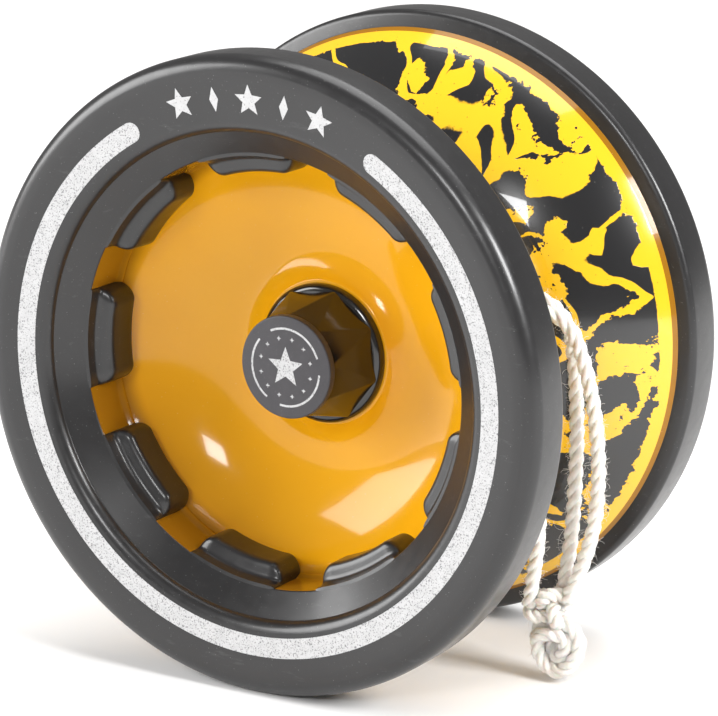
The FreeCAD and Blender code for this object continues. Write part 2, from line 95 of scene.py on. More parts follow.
class Finish:
    """A procedural material. Its textures read the row frame's position, in millimetres."""

    def __init__(self, name, **constants):
        self.material = bpy.data.materials.new(name)
        self.material.use_nodes = True
        self.tree = self.material.node_tree
        self.shader = self.tree.nodes["Principled BSDF"]
        for socket, value in constants.items():
            self.shader.inputs[socket.replace("_", " ")].default_value = value
        place = self.add("ShaderNodeTexCoord").outputs["Object"]
        self.place = self.vector("SCALE", place, Scale=1 / MM)
        parts = self.add("ShaderNodeSeparateXYZ", Vector=self.place)
        self.x, self.y, self.z = parts.outputs

    def feed(self, socket, value):
        if isinstance(value, bpy.types.NodeSocket):
            self.tree.links.new(value, socket)
        else:
            socket.default_value = value

    def add(self, kind, settings=None, **sockets):
        node = self.tree.nodes.new(kind)
        for name, value in (settings or {}).items():
            setattr(node, name, value)
        for name, value in sockets.items():
            self.feed(node.inputs[name.replace("_", " ")], value)
        return node

    def number(self, operation, *values, clamp=False):
        node = self.add("ShaderNodeMath", {"operation": operation, "use_clamp": clamp})
        for socket, value in zip(node.inputs, values):
            self.feed(socket, value)
        return node.outputs[0]

    def vector(self, operation, *values, **sockets):
        node = self.add("ShaderNodeVectorMath", {"operation": operation}, **sockets)
        for socket, value in zip(node.inputs, values):
            self.feed(socket, value)
        return node.outputs[0]

    def combined(self, x, y, z):
        return self.add("ShaderNodeCombineXYZ", X=x, Y=y, Z=z).outputs[0]

    def noise(self, scale, detail=2.0, roughness=0.5, place=None, colour=False, **sockets):
        node = self.add(
            "ShaderNodeTexNoise",
            Vector=place or self.place,
            Scale=scale,
            Detail=detail,
            Roughness=roughness,
            **sockets,
        )
        return node.outputs["Color" if colour else "Fac"]

    def cells(self, scale, feature="F1", output="Distance", place=None, randomness=1.0):
        node = self.add(
            "ShaderNodeTexVoronoi",
            {"feature": feature},
            Vector=place or self.place,
            Scale=scale,
            Randomness=randomness,
        )
        return node.outputs[output]

    def between(self, value, low, high):
        """0 at low, 1 at high, and smooth from one to the other."""
        node = self.add("ShaderNodeMapRange", {"interpolation_type": "SMOOTHSTEP"})
        for socket, number in zip(node.inputs, (value, low, high, 0.0, 1.0)):
            self.feed(socket, number)
        return node.outputs[0]

    def mix(self, share, first, second):
        node = self.add("ShaderNodeMix", {"data_type": "RGBA"})
        self.feed(node.inputs[0], share)
        for socket, value in ((node.inputs[6], first), (node.inputs[7], second)):
            self.feed(socket, (*value, 1) if isinstance(value, tuple) else value)
        return node.outputs[2]

    def bump(self, height, depth, strength=1.0, under=None):
        """A bump whose height of 1 stands for a depth in millimetres."""
        node = self.add(
            "ShaderNodeBump", Height=height, Distance=depth * MM, Strength=strength
        )
        if under is not None:
            self.feed(node.inputs["Normal"], under)
        return node.outputs[0]

    def radius(self):
        squares = [self.number("MULTIPLY", v, v) for v in (self.x, self.z)]
        return self.number("SQRT", self.number("ADD", *squares))

    def set(self, **sockets):
        for name, value in sockets.items():
            self.feed(self.shader.inputs[name.replace("_", " ")], value)
        return self.material


# The second colour is painted shade: the brown that the bowl's wall beside the rubber is darkened to.
YELLOW, SHADED_WALL_YELLOW = (0.80, 0.385, 0.008), (0.17, 0.065, 0.006)
INK = (0.0085, 0.0085, 0.0095)


def yellow_plastic():
    """Glossy moulded plastic: a slow drift of colour, painted shade darkening the bowl's wall beside the
    rubber, a faint ripple, and a few specks of dust.
    """
    m = Finish(
        "yellow_plastic",
        IOR=1.5,
        Specular_IOR_Level=0.2,
        Coat_Weight=0.3,
        Coat_Roughness=0.02,
    )
    drift = m.noise(0.05, 2)
    colour = m.mix(m.between(drift, 0.3, 0.7), YELLOW, (0.76, 0.35, 0.006))
    # Painted shade: the bowl's wall near the rubber's mouth, at radii from 22.4 to 23.9 mm, is darkened
    # towards brown.
    painted_wall_shade = m.between(m.radius(), 22.4, 23.9)
    colour = m.mix(m.number("MULTIPLY", painted_wall_shade, 0.8), colour, SHADED_WALL_YELLOW)
    dust = m.between(m.cells(1.1), 0.055, 0.035)
    colour = m.mix(m.number("MULTIPLY", dust, 0.35), colour, (0.95, 0.80, 0.45))
    rough = m.add("ShaderNodeMapRange", Value=m.noise(0.35, 4))
    for socket, number in zip(list(rough.inputs)[1:5], (0.3, 0.7, 0.10, 0.17)):
        socket.default_value = number
    ripple = m.bump(m.noise(0.16, 1), 0.05, 0.35)
    return m.set(Base_Color=colour, Roughness=rough.outputs[0], Normal=ripple)


def printed_flank():
    """The same plastic under a jagged black print, with a plain band beside the rubber."""
    m = Finish("printed_flank", IOR=1.5, Coat_Weight=0.7, Coat_Roughness=0.03)
    half = m.number("MULTIPLY", m.number("SIGN", m.y), 37.0)
    flat = m.combined(m.x, m.z, half)
    sway = m.vector("SUBTRACT", m.noise(0.09, 2, place=flat, colour=True), (0.5, 0.5, 0.5))
    swayed = m.vector("ADD", flat, m.vector("MULTIPLY", sway, (13.0, 13.0, 0.0)))
    fray_where = m.between(m.noise(0.15, 1, place=flat), 0.44, 0.60)
    fray = m.number("SUBTRACT", m.noise(1.15, 3, 0.62, place=flat), 0.5)
    fray = m.number("MULTIPLY", fray, m.number("MULTIPLY_ADD", fray_where, 0.30, 0.03))
    gap = m.cells(0.20, "DISTANCE_TO_EDGE", place=swayed)
    lines = m.number("SUBTRACT", m.number("MULTIPLY", m.noise(0.17, 1, place=flat), 0.44), gap)
    patch = m.cells(0.20, "F1", "Color", place=swayed)
    patch = m.add("ShaderNodeSeparateXYZ", Vector=patch).outputs[0]
    filled = m.number("SUBTRACT", m.number("MULTIPLY", m.number("GREATER_THAN", patch, 0.56), gap), 0.03)
    shape = m.number("MAXIMUM", lines, filled)
    slash = m.number("ABSOLUTE", m.number("SUBTRACT", m.noise(0.105, 1, place=swayed), 0.5))
    cut = m.number("SUBTRACT", slash, 0.028)
    shape = m.number("MINIMUM", shape, m.number("MULTIPLY", cut, 2.2))
    shape = m.number("ADD", shape, fray)
    margin = m.number("MULTIPLY", m.number("SUBTRACT", 31.7, m.radius()), 0.16)
    shape = m.number("MINIMUM", shape, m.number("ADD", margin, m.number("MULTIPLY", fray, 0.8)))
    ink = m.between(shape, -0.004, 0.006)
    dots = m.between(m.cells(1.5, place=flat), 0.10, 0.05)
    ink = m.number("MAXIMUM", ink, m.number("MULTIPLY", dots, m.between(shape, -0.10, -0.03)))
    drift = m.mix(m.noise(0.06, 1), (0.86, 0.50, 0.012), (0.84, 0.455, 0.010))
    dust = m.number("MULTIPLY", m.between(m.cells(0.9), 0.06, 0.03), 0.28)
    black = m.mix(dust, INK, (0.35, 0.33, 0.30))
    colour = m.mix(ink, drift, black)
    step = m.bump(ink, 0.012, 0.6, m.bump(m.noise(0.2, 1), 0.03, 0.25))
    rough = m.number("MULTIPLY_ADD", ink, 0.10, 0.13)
    return m.set(Base_Color=colour, Roughness=rough, Normal=step)


def rim_rubber():
    """Glossy black rubber with a fine grain, faint scuffs and pale dust."""
    m = Finish("rim_rubber", IOR=1.5, Coat_Weight=0.25, Coat_Roughness=0.16)
    cloud = m.noise(0.12, 3)
    colour = m.mix(cloud, (0.0085, 0.0082, 0.0088), (0.0150, 0.0145, 0.0152))
    dust = m.between(m.cells(1.35), 0.075, 0.045)
    grit = m.between(m.noise(4.5, 2), 0.68, 0.76)
    pale = m.number("MAXIMUM", m.number("MULTIPLY", dust, 0.55), m.number("MULTIPLY", grit, 0.22))
    colour = m.mix(pale, colour, (0.20, 0.195, 0.195))
    stretched = m.combined(m.number("MULTIPLY", m.x, 0.25), m.y, m.number("MULTIPLY", m.z, 0.9))
    scuff = m.between(m.noise(0.9, 5, 0.7, place=stretched), 0.60, 0.72)
    colour = m.mix(m.number("MULTIPLY", scuff, 0.18), colour, (0.10, 0.098, 0.10))
    rough = m.number("MULTIPLY_ADD", m.noise(0.8, 4), 0.18, 0.24)
    rough = m.number("ADD", rough, m.number("MULTIPLY", pale, 0.3))
    grain = m.bump(m.noise(7.0, 3, 0.6), 0.010, 0.5, m.bump(m.noise(0.5, 2), 0.03, 0.3))
    return m.set(Base_Color=colour, Roughness=rough, Normal=grain)


def silver_print(name, worn):
    """Pale grey ink, worn into fine specks where the rubber shows through."""
    m = Finish(name, IOR=1.45)
    specks = m.between(m.noise(5.5, 3, 0.65), 0.56 - worn, 0.66 - worn)
    tone = m.mix(m.noise(1.2, 3), (0.44, 0.44, 0.445), (0.58, 0.58, 0.585))
    colour = m.mix(m.number("MULTIPLY", specks, 0.75), tone, (0.08, 0.08, 0.085))
    grain = m.bump(m.noise(6.0, 2), 0.01, 0.5)
    rough = m.number("MULTIPLY_ADD", specks, 0.15, 0.42)
    return m.set(Base_Color=colour, Roughness=rough, Normal=grain)


def hub_plastic():
    """Black plastic, glossy, with hair-fine scratches and a trace of dust."""
    m = Finish("hub_plastic", IOR=1.52, Coat_Weight=0.35, Coat_Roughness=0.06)
    dust = m.number("MULTIPLY", m.between(m.cells(1.7), 0.07, 0.04), 0.4)
    colour = m.mix(dust, (0.010, 0.009, 0.009), (0.25, 0.24, 0.23))
    rough = m.number("MULTIPLY_ADD", m.noise(1.4, 4, 0.7), 0.16, 0.08)
    wave = m.bump(m.noise(0.7, 1), 0.02, 0.4)
    return m.set(Base_Color=colour, Roughness=rough, Normal=wave)


def cap_plastic():
    """Dark grey plastic with a fine matt grain."""
    m = Finish("cap_plastic", IOR=1.46)
    grit = m.between(m.noise(6.5, 2), 0.64, 0.76)
    colour = m.mix(m.noise(0.8, 3), (0.036, 0.034, 0.038), (0.052, 0.049, 0.054))
    colour = m.mix(m.number("MULTIPLY", grit, 0.35), colour, (0.25, 0.24, 0.25))
    grain = m.bump(m.noise(8.0, 3), 0.015, 0.6)
    rough = m.number("MULTIPLY_ADD", m.noise(2.0, 3), 0.18, 0.40)
    return m.set(Base_Color=colour, Roughness=rough, Normal=grain)


def string_cotton():
    """Off-white cotton: fibres along the ply, soft shade between them, and a downy sheen."""
    m = Finish(
        "string_cotton",
        IOR=1.4,
        Sheen_Weight=0.35,
        Sheen_Roughness=0.5,
        Subsurface_Weight=0.18,
        Subsurface_Scale=0.0008,
    )
    fibres = m.noise(3.2, 4, 0.65)
    stain = m.between(m.noise(0.22, 3), 0.52, 0.74)
    colour = m.mix(fibres, (0.80, 0.765, 0.725), (0.95, 0.935, 0.91))
    colour = m.mix(m.number("MULTIPLY", stain, 0.40), colour, (0.74, 0.60, 0.46))
    fine = m.bump(fibres, 0.18, 0.7, m.bump(m.noise(9.0, 3), 0.05, 0.6))
    rough = m.number("MULTIPLY_ADD", m.noise(1.0, 2), 0.1, 0.82)
    return m.set(Base_Color=colour, Roughness=rough, Normal=fine)


def cotton_fuzz():
    m = Finish("cotton_fuzz", IOR=1.4, Sheen_Weight=0.3, Subsurface_Weight=0.1)
    colour = m.mix(m.noise(1.5, 2), (0.80, 0.76, 0.70), (0.92, 0.90, 0.87))
    return m.set(Base_Color=colour, Roughness=m.number("MULTIPLY_ADD", m.noise(3, 1), 0.1, 0.8))


def turned_metal(name, light, dark, rough, metal=1.0):
    """Metal with the fine rings that turning leaves, and a slow cloud of tarnish."""
    m = Finish(name, Metallic=metal)
    rings = m.add(
        "ShaderNodeTexNoise", Vector=m.combined(m.radius(), m.y, 0.0), Scale=9.0, Detail=3.0
    ).outputs["Fac"]
    colour = m.mix(m.between(m.noise(0.7, 3), 0.35, 0.7), light, dark)
    spread = m.number("MULTIPLY_ADD", rings, 0.16, rough)
    return m.set(Base_Color=colour, Roughness=spread, Normal=m.bump(rings, 0.01, 0.5))


def moulded(name, light, dark, rough):
    """A plain moulded part: cloudy colour, grain and a dull skin."""
    m = Finish(name, IOR=1.45)
    colour = m.mix(m.noise(0.9, 4), light, dark)
    spread = m.number("MULTIPLY_ADD", m.noise(2.5, 3), 0.15, rough)
    return m.set(Base_Color=colour, Roughness=spread, Normal=m.bump(m.noise(5.0, 3), 0.02, 0.5))


# ---------------------------------------------------------------- mesh helpers


def place(side, radius, depth, degrees):
    """A point of one half: radius from the axle, depth from the middle plane, and the angle from +X
    towards +Z. side is -1 in front and 1 behind."""
    angle = math.radians(degrees)
    return Vector((radius * math.cos(angle), side * depth, radius * math.sin(angle))) * MM


def bowed(start, end, radius, side, steps):
    """Points from start to end, both left out, on an arc that bulges to the right of the way when
    side is 1, and to the left when it is -1."""
    a, b = Vector(start), Vector(end)
    chord = b - a
    right = Vector((chord.y, -chord.x)).normalized()
    centre = (a + b) / 2 - right * side * math.sqrt(radius**2 - (chord.length / 2) ** 2)
    first = math.atan2(*(a - centre).yx)
    turn = math.remainder(math.atan2(*(b - centre).yx) - first, math.tau)
    angles = [first + turn * k / steps for k in range(1, steps)]
    return [tuple(centre + Vector((math.cos(t), math.sin(t))) * radius) for t in angles]


def softened(corners, steps=4):
    """An outline with each corner that names a radius turned into an arc of about that radius."""
    points = []
    for index, corner in enumerate(corners):
        here = Vector(corner[:2])
        if len(corner) == 2:
            points.append(tuple(here))
            continue
        before = Vector(corners[index - 1][:2]) - here
        after = Vector(corners[(index + 1) % len(corners)][:2]) - here
        reach = min(corner[2], 0.48 * before.length, 0.48 * after.length)
        first, last = here + before.normalized() * reach, here + after.normalized() * reach
        for k in range(steps + 1):
            t = k / steps
            points.append(tuple(first * (1 - t) ** 2 + here * 2 * t * (1 - t) + last * t * t))
    return points


def finished(name, mesh, body, *materials, slot=None, angle=34):
    """An object from a mesh in the row frame, smooth but for its sharp edges, riding on a body."""
    mesh.shade_smooth()
    mesh.set_sharp_from_angle(angle=math.radians(angle))
    for material in materials:
        mesh.materials.append(material)
    piece = bpy.data.objects.new(name, mesh)
    bpy.context.scene.collection.objects.link(piece)
    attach(piece, body)
    return piece


def mesh_from(name, points, faces, painted=None):
    mesh = bpy.data.meshes.new(name)
    mesh.from_pydata(points, [], faces)
    mesh.update()
    if painted:
        for face, index in zip(mesh.polygons, painted):
            face.material_index = index
    shape = bmesh.new()
    shape.from_mesh(mesh)
    bmesh.ops.recalc_face_normals(shape, faces=shape.faces)
    shape.to_mesh(mesh)
    shape.free()
    return mesh


def lathe(side, outline, segments=288, painted=None, closed=True):
    """Points, faces and paint of an outline of radius and depth turned about the spin axis."""
    count = len(outline)
    points = [
        place(side, radius, depth, 360 * k / segments)
        for k in range(segments)
        for radius, depth in outline
    ]
    faces, paint = [], []
    for k in range(segments):
        here, there = k * count, (k + 1) % segments * count
        for j in range(count if closed else count - 1):
            after = (j + 1) % count
            faces.append((here + j, here + after, there + after, there + j))
            paint.append(painted(outline[j], outline[after]) if painted else 0)
    if not closed:
        for end in (0, count - 1):
            faces.append(tuple(k * count + end for k in range(segments)))
            paint.append(0)
    return points, faces, paint


def joined(*shapes):
    """Several lists of points and faces as one."""
    points, faces = [], []
    for some_points, some_faces in shapes:
        first = len(points)
        points += some_points
        faces += [tuple(first + i for i in face) for face in some_faces]
    return points, faces


# ---------------------------------------------------------------- the halves

BOWL_MOUTH, BOWL_WALL, BOWL_LIP = 24.0, 11.9, 16.8
BOWL_LOW = (11.4, 4.2)
SEAT = (8.1, 5.6)
FLANK_FOOT, FLANK_EDGE = (10.8, 2.2), (33.1, 14.45)
RIM_MOUTH = (23.8, 16.82)
FACE_INNER, FACE_OUTER = (27.9, 20.35), (32.5, 20.9)
CAP_FACE = 13.4
LUG_ANGLES = {"front": 18.0, "rear": 2.0}


def level_bow(low, end):
    """The radius of an arc that starts level at low and reaches end."""
    across, rise = end[0] - low[0], end[1] - low[1]
    return (across**2 + rise**2) / 2 / rise


def shell(name, side, yellow, printed):
    wall = (BOWL_MOUTH, BOWL_WALL)
    outline = [
        (5.3, 2.75),
        (6.8, 2.75),
        (6.8, 2.2, 0.1),
        (7.4, 2.2, 0.1),
        (7.4, 3.3),
        (10.2, 3.3),
        (10.2, 2.2, 0.1),
        FLANK_FOOT,
        *bowed(FLANK_FOOT, FLANK_EDGE, 30.0, 1, 40),
        FLANK_EDGE,
        (30.4, 14.45),
        (30.4, 13.0),
        (26.2, 13.0),
        (26.2, BOWL_LIP, 0.15),
        (BOWL_MOUTH, BOWL_LIP, 0.25),
        (BOWL_MOUTH, BOWL_WALL + 0.35, 0.2),
        (BOWL_MOUTH - 0.45, BOWL_WALL - 0.35, 0.25),
        *bowed(wall, BOWL_LOW, level_bow(BOWL_LOW, wall), -1, 40)[1:],
        BOWL_LOW,
        *bowed(BOWL_LOW, SEAT, level_bow(BOWL_LOW, SEAT), -1, 12),
        (*SEAT, 0.3),
        (5.3, 5.6),
    ]
    outline = softened(outline)

    def on_flank(start, end):
        middle = ((start[0] + end[0]) / 2, (start[1] + end[1]) / 2)
        return int(middle[0] > 10.5 and middle[1] < 1.6 + 0.5 * (middle[0] - 8.0) and end[0] > start[0])

    points, faces, paint = lathe(side, outline, painted=on_flank)
    mesh = mesh_from(f"{name}_dish", points, faces, paint)
    piece = finished(f"{name}_dish", mesh, BODY[name], yellow, printed, slot="yellow_plastic")
    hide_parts(f"{name}_shell")


def lug(side, centre, sweep=27.0, rows=52):
    """One rounded pad of the rim, on the wall of the bowl, thinner and lower at its two ends."""
    wall = BOWL_MOUTH - 0.02
    outline = softened(
        [
            (wall, 12.2),
            (21.62, 11.1, 0.6),
            (21.62, 15.35, 1.15),
            (23.3, 15.75, 0.5),
            (23.68, 16.9),
            (24.3, 17.1),
            (24.3, 16.85),
            (wall, 16.85),
        ],
        6,
    )
    points, faces = [], []
    edge = 1.5 / 21.6
    half = math.radians(sweep / 2)
    for row in range(rows + 1):
        share = 0.5 - 0.5 * math.cos(math.pi * row / rows)
        angle = half * (2 * share - 1)
        near = max(0.0, 1 - (half - abs(angle)) / edge)
        round_off = 1 - math.sqrt(max(0.0, 1 - near**2))
        for radius, depth in outline:
            radius += max(0.0, wall - radius) * 0.80 * round_off
            if depth < 16.8:
                depth = 13.4 + (depth - 13.4) * (1 - 0.18 * round_off)
            points.append(place(side, radius, depth, centre + math.degrees(angle)))
    count = len(outline)
    for row in range(rows):
        here = row * count
        for j in range(count):
            k = (j + 1) % count
            faces.append((here + j, here + k, here + count + k, here + count + j))
    faces.append(tuple(range(count)))
    faces.append(tuple(range(rows * count, (rows + 1) * count)))
    return points, faces


def rim(name, side, rubber):
    outline = [
        (FLANK_EDGE[0], FLANK_EDGE[1], 0.12),
        (34.6, 14.75, 0.3),
        (35.0, 15.15, 0.3),
        (35.0, 19.2),
        *bowed((35.0, 19.2), (33.4, 20.9), 1.75, 1, 9),
        (33.4, 20.9, 0.12),
        (*FACE_OUTER, 0.5),
        FACE_INNER,
        *bowed(FACE_INNER, (26.7, 19.1), 1.5, 1, 8),
        (26.7, 19.1, 0.2),
        (*RIM_MOUTH, 0.35),
        (26.25, 16.8),
        (26.25, 13.0),
        (30.35, 13.0),
        (30.35, 14.45),
    ]
    ring = lathe(side, softened(outline), segments=320)[:2]
    lugs = [lug(side, LUG_ANGLES[name] + 40 * k) for k in range(9)]
    mesh = mesh_from(f"{name}_tyre", *joined(ring, *lugs))
    piece = finished(f"{name}_tyre", mesh, BODY[name], rubber, slot="rim_rubber")
    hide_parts(f"{name}_rubber_rim")


def face_depth(radius):
    """The depth at a radius of print that lies on the rim's dished face."""
    slope = (FACE_OUTER[1] - FACE_INNER[1]) / (FACE_OUTER[0] - FACE_INNER[0])
    return FACE_INNER[1] + slope * (radius - FACE_INNER[0]) + PRINT_LIFT


def printed_arc(side, middle, width, start, end, rows=260, columns=7):
    """A flat band round the rim's face with round ends, as points and faces."""
    points, faces = [], []
    cap = math.degrees(width / 2 / middle)
    for row in range(rows + 1):
        t = row / rows
        if t < 0.06:
            angle = start + cap * (1 - math.cos(math.pi / 2 * t / 0.06))
        elif t > 0.94:
            angle = end - cap * (1 - math.cos(math.pi / 2 * (1 - t) / 0.06))
        else:
            angle = start + cap + (end - start - 2 * cap) * (t - 0.06) / 0.88
        inward = min(angle - start, end - angle) / cap
        reach = width / 2 * math.sqrt(max(1e-4, 1 - max(0.0, 1 - inward) ** 2))
        for column in range(columns):
            radius = middle + reach * (2 * column / (columns - 1) - 1)
            points.append(place(side, radius, face_depth(radius), angle))
    for row in range(rows):
        for column in range(columns - 1):
            first = row * columns + column
            faces.append((first, first + 1, first + columns + 1, first + columns))
    return points, faces


def star(tips, outer, inner, turn=0.0):
    """The corners of a star with its middle at the origin."""
    corners = []
    for k in range(2 * tips):
        angle = math.radians(90 + turn + 180 * k / tips)
        reach = inner if k % 2 else outer
        corners.append((reach * math.cos(angle), reach * math.sin(angle)))
    return corners


def on_face(side, radius, degrees, corners):
    """A flat shape laid on the rim's face, its own up pointing away from the axle."""
    base = math.radians(degrees)
    spots = []
    for across, along in [(0.0, 0.0), *corners]:
        x = (radius + along) * math.cos(base) - across * side * math.sin(base)
        z = (radius + along) * math.sin(base) + across * side * math.cos(base)
        depth = face_depth(math.hypot(x, z))
        spots.append(Vector((x, side * depth, z)) * MM)
    count = len(corners)
    return spots, [(0, 1 + k, 1 + (k + 1) % count) for k in range(count)]


def rim_print(name, side, silver, white):
    """A long silver band with round ends, and five plain shapes in its gap."""
    points, faces = printed_arc(side, 29.4, 2.2, 118.2, 420.8)
    arc = mesh_from(f"{name}_band_print", points, faces)
    finished(f"{name}_band_print", arc, BODY[name], silver, slot="rim_rubber")
    shapes = [on_face(side, 30.3, a, star(5, 1.75, 0.78)) for a in (73.0, 89.5, 106.0)]
    lozenge = [(0.55, 0.0), (0.0, 1.35), (-0.55, 0.0), (0.0, -1.35)]
    shapes += [on_face(side, 30.3, a, lozenge) for a in (81.25, 97.75)]
    marks = mesh_from(f"{name}_star_print", *joined(*shapes))
    finished(f"{name}_star_print", marks, BODY[name], white, slot="rim_rubber")


def hub(name, side, plastic, turn):
    """The diamond-cut knob: a round foot, and eight sides that twist half a side on their way up."""
    low = [place(side, 7.6, 6.55, turn + (k - 0.5) * 45) for k in range(8)]
    top = [place(side, 5.42, 12.38, turn + k * 45) for k in range(8)]
    shape = bmesh.new()
    lows = [shape.verts.new(p) for p in low]
    tops = [shape.verts.new(p) for p in top]
    for k in range(8):
        after = (k + 1) % 8
        shape.faces.new((lows[k], lows[after], tops[k]))
        shape.faces.new((tops[k], lows[after], tops[after]))
    shape.faces.new(lows)
    shape.faces.new(tops)
    bmesh.ops.bevel(
        shape,
        geom=shape.edges[:],
        offset=0.16 * MM,
        segments=3,
        profile=0.6,
        affect="EDGES",
    )
    foot = softened(
        [(5.2, 3.2), (5.25, 5.6), (7.8, 5.6, 0.1), (7.8, 6.35, 0.3), (7.3, 6.75, 0.3), (5.0, 6.75)]
    )
    points, faces, _ = lathe(side, foot, segments=160, closed=False)
    base = [shape.verts.new(p) for p in points]
    for face in faces:
        shape.faces.new([base[i] for i in face])
    bmesh.ops.recalc_face_normals(shape, faces=shape.faces)
    mesh = bpy.data.meshes.new(f"{name}_knob")
    shape.to_mesh(mesh)
    shape.free()
    piece = finished(f"{name}_knob", mesh, BODY[name], plastic, slot="hub_plastic", angle=28)
    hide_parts(f"{name}_hub_knob")


def cap(name, side, plastic, silver):
    outline = softened(
        [
            (0.02, 11.5),
            (2.95, 11.5),
            (2.95, 12.4),
            (5.7, 12.4, 0.15),
            (5.7, CAP_FACE, 0.22),
            (0.02, CAP_FACE),
        ]
    )
    points, faces, _ = lathe(side, outline, segments=160, closed=False)
    mesh = mesh_from(f"{name}_disc", points, faces)
    piece = finished(f"{name}_disc", mesh, BODY[name], plastic, slot="cap_plastic")
    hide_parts(f"{name}_hub_cap")

    depth = side * (CAP_FACE + PRINT_LIFT)

    def flat(corners):
        spots = [Vector((x, depth, z)) * MM for x, z in corners]
        count = len(corners)
        return spots, [(0, 1 + k, 1 + (k + 1) % (count - 1)) for k in range(count - 1)]

    shapes = [flat([(0.0, 0.0), *star(5, 2.3, 1.0)])]
    for start in (20, 140, 260):
        rim_points, rim_faces = [], []
        for k in range(25):
            angle = math.radians(start + 96 * k / 24)
            for radius in (4.18, 4.42):
                spot = (radius * math.cos(angle), depth, radius * math.sin(angle))
                rim_points.append(Vector(spot) * MM)
        for k in range(24):
            rim_faces.append((2 * k, 2 * k + 1, 2 * k + 3, 2 * k + 2))
        shapes.append((rim_points, rim_faces))
    for k in range(12):
        angle = 30 * k + 15
        x, z = 3.25 * math.cos(math.radians(angle)), 3.25 * math.sin(math.radians(angle))
        shapes.append(flat([(x, z), *[(x + a * 0.9, z + b * 0.9) for a, b in star(4, 0.32, 0.13)]]))
    emblem = mesh_from(f"{name}_disc_print", *joined(*shapes))
    finished(f"{name}_disc_print", emblem, BODY[name], silver, slot="cap_plastic")


# ---------------------------------------------------------------- the string

TAIL_ROUTE = [
    (11.5, 0.0, -8.3),
    (14.1, 0.1, -4.7),
    (16.3, 0.2, -0.6),
    (18.6, 0.3, 3.5),
    (22.3, 0.4, 6.9),
    (26.9, 0.8, 5.8),
    (28.8, 1.1, 1.0),
    (30.0, 1.2, -4.1),
    (30.6, 1.2, -9.6),
    (30.5, 1.1, -15.2),
    (29.3, 1.0, -20.7),
    (27.0, 1.0, -25.8),
]
NOOSE_ROUTE = [
    (25.9, 2.0, -25.4),
    (26.4, 2.5, -21.1),
    (26.8, 2.6, -16.7),
    (27.0, 2.6, -12.3),
    (27.1, 2.6, -7.9),
    (26.9, 2.7, -3.5),
    (26.4, 3.2, 1.0),
    (25.2, 3.6, 5.4),
    (21.6, 2.2, 7.9),
    (18.1, -0.4, 6.6),
    (17.1, -1.9, 2.5),
    (19.5, -2.3, -1.5),
    (22.2, -2.3, -5.3),
    (24.2, -2.2, -9.3),
    (25.2, -2.2, -13.5),
    (25.1, -2.0, -17.9),
    (24.3, -1.5, -22.2),
    (23.2, -0.6, -26.4),
]
STRING = 1.72
WINDING = {"turns": 14, "inner": 7.2, "outer": 14.2, "shift": 0.80}
KNOT_CENTRE = Vector((25.0, 0.8, -26.8))
LOOP_CENTRE = Vector((26.0, 1.0, -31.1))


def winding_points(end_angle):
    """The turns on the bearing, two beside each other in each layer, up to the angle at which the
    string leaves them."""
    turns, per_turn = WINDING["turns"], 16
    points = []
    for k in range(turns * per_turn):
        turn = k / per_turn
        angle = math.radians(end_angle) - math.tau * (turns - turn)
        layer = turn / 2
        radius = WINDING["inner"] + (WINDING["outer"] - WINDING["inner"]) * turn / turns
        swing = math.cos(math.pi * layer * 2)
        points.append(
            (radius * math.cos(angle), WINDING["shift"] * swing, radius * math.sin(angle))
        )
    return points


def smooth_line(name, route):
    """The points of a route's NURBS spline, in millimetres."""
    data = bpy.data.curves.new(name, "CURVE")
    data.dimensions, data.resolution_u = "3D", 8
    spline = data.splines.new("NURBS")
    spline.points.add(len(route) - 1)
    for point, spot in zip(spline.points, route):
        point.co = (*(v * MM for v in spot), 1)
    spline.order_u = 3
    spline.use_endpoint_u = True
    curve = bpy.data.objects.new(name, data)
    mesh = bpy.data.meshes.new_from_object(curve)
    points = [v.co / MM for v in mesh.vertices]
    bpy.data.objects.remove(curve)
    bpy.data.meshes.remove(mesh)
    return points


def length_of(points):
    return sum((b - a).length for a, b in zip(points, points[1:]))


def evenly(points, step):
    """The same line with points a step apart."""
    total = length_of(points)
    count = max(2, round(total / step))
    found, walked, index = [points[0]], 0.0, 0
    for k in range(1, count):
        goal = total * k / count
        while walked + (points[index + 1] - points[index]).length < goal:
            walked += (points[index + 1] - points[index]).length
            index += 1
        run = points[index + 1] - points[index]
        found.append(points[index] + run * ((goal - walked) / run.length))
    return [*found, points[-1]]


def carried_frames(line, closed=False):
    """A pair of cross directions at each point, carried along the line without twist."""
    ways = []
    for k in range(len(line)):
        before = line[k - 1] if k or closed else line[k]
        after = line[(k + 1) % len(line)] if k + 1 < len(line) or closed else line[k]
        ways.append((after - before).normalized())
    across = ways[0].orthogonal().normalized()
    pairs = []
    for way in ways:
        across = (across - way * across.dot(way)).normalized()
        pairs.append((across, way.cross(across)))
    return pairs


